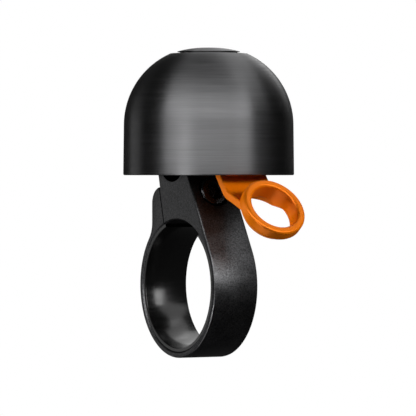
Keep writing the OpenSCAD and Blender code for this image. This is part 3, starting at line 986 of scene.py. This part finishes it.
@dataclass
class Mechanism:
    """The post, pivot, spring and hammer inside the dome, and the small washers.

    Its lengths are in mm, and its places count from the dome's axis and rim.
    """

    at: Layout
    screw: tuple[Vector, Vector]
    pin_at: Point = (5.6, 10.8)
    clip_at: float = 5.175
    clip_half: float = 0.165
    relief_at: float = 1.02
    coil: float = 1.75
    turns: float = 5.5
    wire_r: float = 0.222
    free: float = 1.1
    leaf_half: float = 2.0
    rivet_up: float = 10.5
    rivet_hole: float = 0.51
    strike_up: float = 4.4
    nose: float = 7.325
    steel: Drawn = Drawn("brushed_stainless", "#A5A6A8", 0.3, 1.0, line=0.12, run=2.5)
    brass: Drawn = Drawn("turned_brass", "#C9A455", 0.25, 1.0, 0.002, direction=(1, 0, 1), run=2.0)
    acetal: Coated = Coated("natural_acetal", "#DEDCD4", 0.4, peel=0.5, depth=0.002)
    nylon: Coated = Coated("black_nylon", "#141414", 0.5, peel=0.4, depth=0.004)
    rubber: Coated = Coated("stop_rubber", "#191919", 0.6, peel=0.4, depth=0.006)
    dark: Coated = Coated("clip_black_steel", "#333335", 0.3, 1.0, peel=0.3, depth=0.002)
    wire: Coated = Coated("spring_wire_steel", "#8E8F92", 0.24, 1.0, peel=0.2, depth=0.002)

    def place(self, along: float, out: float, up: float) -> Vector:
        """Returns a point given in mm along the bar, then from the dome's axis and rim."""
        return spot(*self.at.near(out, up), along)

    def build_post(self) -> None:
        """Builds the post with its hexagon and stud."""
        low, high = 4.6, 6.6
        post = turn("threaded_post", [
            (0, 0.8), (1.75, 0.8), (2, 1.05), (2, low), (2.3, 4.65), (2.3, 19.7), (2.12, 19.88),
            (1.7, 19.88), (1.51, 19.68), (1.51, 13.33), (0, 12.6)], self.at.on_axis(0), UP, 72)
        nut = hexagon(2.75, high - low, Matrix.Translation(self.at.on_axis((low + high) / 2)))
        top = self.at.on_axis(high).z
        bevel(nut, lambda a, b: abs(a.z - top) < 1e-6 and abs(b.z - top) < 1e-6, 0.22, 2)
        cut(post, nut, "UNION")
        smooth(post, 28)
        finish(post, Body.CLAMP, self.steel, ["dome_post"])

    def build_rings(self) -> None:
        """Turns the sleeve round the post, the dome's washer and bush, and the screw's washer."""
        dome, screw = (self.at.on_axis(0), UP), self.screw
        bush = [(1.6, 19.88), (3.88, 19.88), (4, 20), (4, 20.38), (2.5, 20.38), (2.5, 21.5),
                (2.42, 21.58), (1.6, 21.58)]
        for name, node, slot, look, section, line, steps in (
                ("stop_sleeve_ring", "stop_sleeve", Slot.RUBBER, self.rubber,
                 ring(2.3, 3.75, 12.7, 15.9, 0.35), dome, 64),
                ("crown_washer", "dome_upper_washer", Slot.BLACK_NYLON, self.nylon,
                 ring(1.6, 5.1, 21.58, 21.83, 0.08), dome, 96),
                ("crown_bush", "dome_lower_bush", Slot.ACETAL, self.acetal, bush, dome, 64),
                ("screw_washer", "clamp_washer", Slot.STEEL, self.steel,
                 ring(1.6, 2.75, 3, 3.5, 0.12), screw, 64)):
            finish(turn(name, section, *line, steps), Body.CLAMP, look, [node])

    def build_bracket(self) -> None:
        """Builds the channel bracket: a bent strip trimmed to its two ears."""
        outside, inside, low, floor, back, top = 3.1, 2.1, 3.8, 4.6, -3.6, 14
        outer, inner = 0.9, 0.4
        wide = arc((outside - outer, low + outer), outer, -90, 0, 8)
        wide += [(outside, top), (inside, top)]
        wide += arc((inside - inner, floor + inner), inner, 0, -90, 6)
        channel = wide + [(-x, z) for x, z in reversed(wide)]
        bracket = extrude("channel_bracket", [self.place(x, back, z) for x, z in channel],
                          Vector((0, -12 * MM, 0)))
        side = [(back, low), (4.6, low)] + arc(self.pin_at, 2.2, -20, 160, 28)
        side += bow((2.95, 5.4), (2.88, floor), (2.1, floor), 5) + [(back, floor)]
        cut(bracket, slab("trim", [self.at.near(*p) for p in side], -4, 4), "INTERSECT")
        drill(bracket, 1.01, self.at.hinge, ALONG)
        stud = [(0, 2), (2.1, 2), (2.1, 6), (0, 6)]
        cut(bracket, turn("drill", stud, self.at.on_axis(0), UP, 48))
        smooth(bracket)
        finish(bracket, Body.CLAMP, self.steel, ["pivot_bracket"])

    def build_pivot(self) -> None:
        """Builds the pin, its two clips and the lever's two bushes."""
        hinge = self.at.hinge
        half = [(1, 5), (0.75, 5), (0.75, 5.35), (1, 5.35), (1, 5.5), (0.85, 5.65), (0, 5.65)]
        bush = [(1.03, 3.13), (2.05, 3.13), (2.1, 3.18), (2.1, 3.33), (1.5, 3.33), (1.5, 4.7),
                (1.4, 4.8), (1.03, 4.8)]
        relief = [(0, -1), (0.42, -1), (0.42, 1), (0, 1)]
        pin = turn("grooved_pin", flip(half) + half, hinge, ALONG, 48)
        finish(pin, Body.CLAMP, self.steel, ["pivot_pin"])
        clips = []
        for middle in (-self.clip_at, self.clip_at):
            section = ring(0.76, 1.9, middle - self.clip_half, middle + self.clip_half, 0.08)
            clip = turn("clip", section, hinge, ALONG, 64)
            cut(clip, block("mouth", hinge + Vector((middle, 0, -1.6)) * MM, (1, 1.1, 2.2)))
            for t in (math.radians(-65), math.radians(65)):
                away = Vector((0, math.sin(t), math.cos(t))) * self.relief_at
                away.x = middle
                cut(clip, turn("relief", relief, hinge + away * MM, ALONG, 24))
            clips.append(clip)
        bushes = [turn("bush", bush, hinge, ALONG * side) for side in (-1, 1)]
        finish(join(clips, "retaining_clips"), Body.CLAMP, self.dark,
               ["pin_clips"])
        finish(join(bushes, "cheek_bushes"), Body.LEVER, self.acetal,
               ["pivot_bushes"])

    def build_spring(self) -> None:
        """Winds the torsion spring and draws out its two legs."""
        steps, half, leg = 32, 1.35, 6
        out, up = self.pin_at
        last = int(self.turns * steps)
        points = [self.place(-half, 2.995 + 0.855 * k / leg, 5.4 + 5.4 * k / leg)
                  for k in range(leg)]
        for i in range(last + 1):
            t = math.tau * i / steps
            points.append(self.place(half * (2 * i / last - 1), out - self.coil * math.cos(t),
                                     up + self.coil * math.sin(t)))
        points += [self.place(half, 7.35 + 0.67 * k / leg, up - 5.4 * k / leg)
                   for k in range(1, leg + 1)]
        pick(trace("torsion_spring", points, closed=False))
        bpy.ops.object.convert(target="CURVE")
        wire = bpy.context.object
        wire.data.bevel_depth = self.wire_r * MM
        wire.data.bevel_resolution = 3
        wire.data.use_fill_caps = True
        bpy.ops.object.convert(target="MESH")
        wire = close_up(bpy.context.object)
        smooth(wire, 50)
        free = Vector((self.free * MM, 0, 0))
        finish(wire, Body.CLAMP, self.wire, ["return_spring"],
               (Body.LEVER, self.at.hinge - free, self.at.hinge + free))

    def build_leaf(self) -> None:
        """Builds the leaf spring with its clamp bar and their rivets."""
        path = [(9.875, 12.4), (9.875, 8.4), (10.9, 6.6), (10.9, 2.9)]
        half, low, high = self.leaf_half, self.at.on_axis(3).z, self.at.on_axis(12.3).z
        outline = bent_strip([self.at.near(*p) for p in path], [0, 0.6, 0.6, 0], 0.3)
        leaf = slab("spring_leaf", outline, -half, half)
        bevel(leaf, lambda a, b: abs(a.x - b.x) < 1e-7 and abs(a.z - b.z) < 1e-7
              and abs(abs(a.x) - half * MM) < 1e-7 and (a.z > high or a.z < low), 0.5)
        drill(leaf, self.rivet_hole, self.place(0, 10.9, self.strike_up), OUT)
        bar = block("leaf_bar", self.place(0, 10.425, self.rivet_up), (5, 0.8, 3.2))
        bevel(bar, lambda a, b: abs(a.y - b.y) > 0.5 * MM, 0.55)
        modifier(bar, "BEVEL", width=0.07 * MM, segments=2, limit_method="ANGLE",
                 angle_limit=math.radians(50))
        body = [(0.5, 0), (0.5, 2.55)] + [(r, 2.55 + h) for r, h in RIVET_HEAD]
        rivets = []
        for side in (-1.5, 1.5):
            through = self.place(side, 10, self.rivet_up)
            drill(leaf, 0.55, through, OUT)
            drill(bar, self.rivet_hole, through, OUT)
            rivets.append(turn("rivet", flip(RIVET_HEAD) + body,
                               self.place(side, 8.275, self.rivet_up), OUT, 40))
        smooth(leaf)
        smooth(bar)
        finish(leaf, Body.LEVER, self.steel, ["hammer_leaf"],
               (Body.HAMMER, self.place(0, 9.9, 8.8), self.place(0, 10.3, 6.9)))
        finish(bar, Body.LEVER, self.steel, ["leaf_clamp_bar"])
        finish(join(rivets, "bar_rivets"), Body.LEVER, self.brass, ["leaf_rivets"])

    def build_hammer(self) -> None:
        """Builds the hammer, whose face is part of a ball, and its rivet."""
        foot = 2.05 - self.nose
        face = [(r, foot + math.sqrt(self.nose * self.nose - r * r))
                for r in (1.6, 1.35, 1.05, 0.7, 0.35, 0)]
        striker = turn("brass_striker", [
            (0, 1.3), (0.51, 1.3), (0.51, 0), (1.55, 0), (1.7, 0.15), (1.7, 1.74), (1.67, 1.82)]
                       + face, self.place(0, 11.05, self.strike_up), OUT, 72)
        finish(striker, Body.HAMMER, self.brass, ["hammer_head"])
        stem = turn("striker_rivet", flip(RIVET_HEAD) + [(0.5, 0), (0.5, 1.59), (0, 1.59)],
                    self.place(0, 10.75, self.strike_up), OUT, 40)
        finish(stem, Body.HAMMER, self.brass, ["hammer_rivet"])

    def build(self) -> None:
        """Builds every piece inside the dome."""
        for step in (self.build_post, self.build_rings, self.build_bracket, self.build_pivot,
                     self.build_spring, self.build_leaf, self.build_hammer):
            step()


# ---------- studio


class Reach(Enum):
    """Which part of a finish a lamp shows in: its gloss, its body colour, or both."""

    GLOSS = (True, False)
    COLOUR = (False, True)
    BOTH = (True, True)


@dataclass(frozen=True)
class Lamp:
    """One soft panel.

    The azimuth is in degrees to the right of the camera, the elevation in degrees above
    level, the size is (width, height), and far is the distance from the bell.
    """

    name: str
    azimuth: float
    elevation: float
    size: Point
    radiance: float
    reach: Reach
    far: float = 0.6


LAMPS = (
    Lamp("left", -48, 21, (0.32, 0.34), 6.0, Reach.GLOSS),
    Lamp("front", -16, 21, (0.32, 0.34), 6.0, Reach.GLOSS),
    Lamp("middle", 15, 21, (0.32, 0.34), 6.0, Reach.GLOSS),
    Lamp("right", 46, 19, (0.3, 0.28), 7.0, Reach.GLOSS),
    Lamp("far_right", 80, 44, (0.34, 0.4), 1.3, Reach.GLOSS),
    Lamp("high_back", 130, 60, (0.46, 0.3), 1.2, Reach.GLOSS),
    Lamp("back", 166, 34, (0.4, 0.4), 1.5, Reach.GLOSS),
    Lamp("low_front", -35, -30, (0.14, 0.1), 30.0, Reach.GLOSS),
    Lamp("side", -117, -5, (0.16, 0.2), 0.6, Reach.GLOSS, far=0.35),
    Lamp("wash", 72, 24, (0.4, 0.15), 15.0, Reach.COLOUR),
    Lamp("edge", -92, 4, (0.4, 0.3), 8.0, Reach.COLOUR),
    Lamp("under", -60, -62, (0.4, 0.4), 1.6, Reach.BOTH),
)


@dataclass
class Studio:
    """Pale floor, soft lights and the camera."""

    at: Layout
    turn: float = 31.7
    distance: float = 0.7
    eye: float = 0.3
    lens: float = 341.65
    shift: Point = (-0.00156, -0.0829)

    def stand(self, name: str, data: bpy.types.ID, place: Vector, facing: Quaternion) -> Piece:
        """Returns a camera or a lamp set up in the scene."""
        made = bpy.data.objects.new(name, data)
        bpy.context.scene.collection.objects.link(made)
        made.location = place
        made.rotation_mode = "QUATERNION"
        made.rotation_quaternion = facing
        return made

    def build_camera(self) -> None:
        """Places the camera level with the dome's rim."""
        t = math.radians(self.turn)
        data = bpy.data.cameras.new("camera")
        data.lens, data.sensor_width = self.lens, 36.0
        data.shift_x, data.shift_y = self.shift
        data.clip_start, data.clip_end = 0.05, 20.0
        back = Vector((-math.sin(t), -math.cos(t), 0))
        camera = self.stand("camera", data, self.at.on_axis(self.eye) + back * self.distance,
                            (-back).to_track_quat("-Z", "Y"))
        bpy.context.scene.camera = camera

    def hang(self, lamp: Lamp) -> None:
        """Hangs one soft panel that faces the bell."""
        data = bpy.data.lights.new(lamp.name, "AREA")
        data.shape = "RECTANGLE"
        data.size, data.size_y = lamp.size
        data.energy = lamp.radiance * math.pi * lamp.size[0] * lamp.size[1]
        t = math.radians(-self.turn + lamp.azimuth)
        e = math.radians(lamp.elevation)
        toward = Vector((math.sin(t) * math.cos(e), -math.cos(t) * math.cos(e), math.sin(e)))
        panel = self.stand(lamp.name, data, self.at.on_axis(0) + toward * lamp.far,
                           toward.to_track_quat("Z", "Y"))
        panel.visible_glossy, panel.visible_diffuse = lamp.reach.value
        panel.visible_camera = False

    def build_world(self) -> None:
        """Fills the room with even pale light and shows white behind the bell."""
        world = bpy.data.worlds.new("room")
        bpy.context.scene.world = world
        tree = blank(world)
        ray = add(tree, "LightPath")
        fill, seen = [add(tree, "Background", links={"Color": (1, 1, 1, 1), "Strength": strength})
                      for strength in (0.03, 1.0)]
        mix = add(tree, "MixShader", links={
            0: ray.outputs["Is Camera Ray"], 1: fill.outputs[0], 2: seen.outputs[0]})
        add(tree, "OutputWorld", links={"Surface": mix.outputs[0]})

    def build_floor(self) -> None:
        """Lays the pale floor."""
        clear()
        bpy.ops.mesh.primitive_plane_add(size=6.0, location=(0, 0, CAD_BOX[0].z - 0.2 * MM))
        floor = settle(bpy.context.object, "floor")
        material = bpy.data.materials.new("pale_floor")
        tree = blank(material)
        glow = add(tree, "Emission", links={"Color": (1, 1, 1, 1), "Strength": 1.0})
        through = add(tree, "BsdfTransparent")
        side = add(tree, "NewGeometry")
        mix = add(tree, "MixShader", links={
            0: side.outputs["Backfacing"], 1: glow.outputs[0], 2: through.outputs[0]})
        add(tree, "OutputMaterial", links={"Surface": mix.outputs[0]})
        floor.data.materials.append(material)
        floor.visible_glossy = floor.visible_diffuse = floor.visible_shadow = False

    def build(self) -> None:
        """Builds the camera, the lights and the floor."""
        bpy.context.scene.view_settings.view_transform = "Standard"
        self.build_camera()
        self.build_world()
        self.build_floor()
        for lamp in LAMPS:
            self.hang(lamp)


def main() -> None:
    """Builds the bell piece by piece, then the studio round it."""
    logging.basicConfig(level=logging.INFO, format="%(name)s: %(message)s")
    at = Layout.read()
    clamp = Clamp(at)
    for part in (Dome(at), clamp, Lever(at), Mechanism(at, clamp.screw_axis()), Studio(at)):
        LOG.info("building %s", type(part).__name__)
        part.build()


if __name__ == "__main__":
    main()
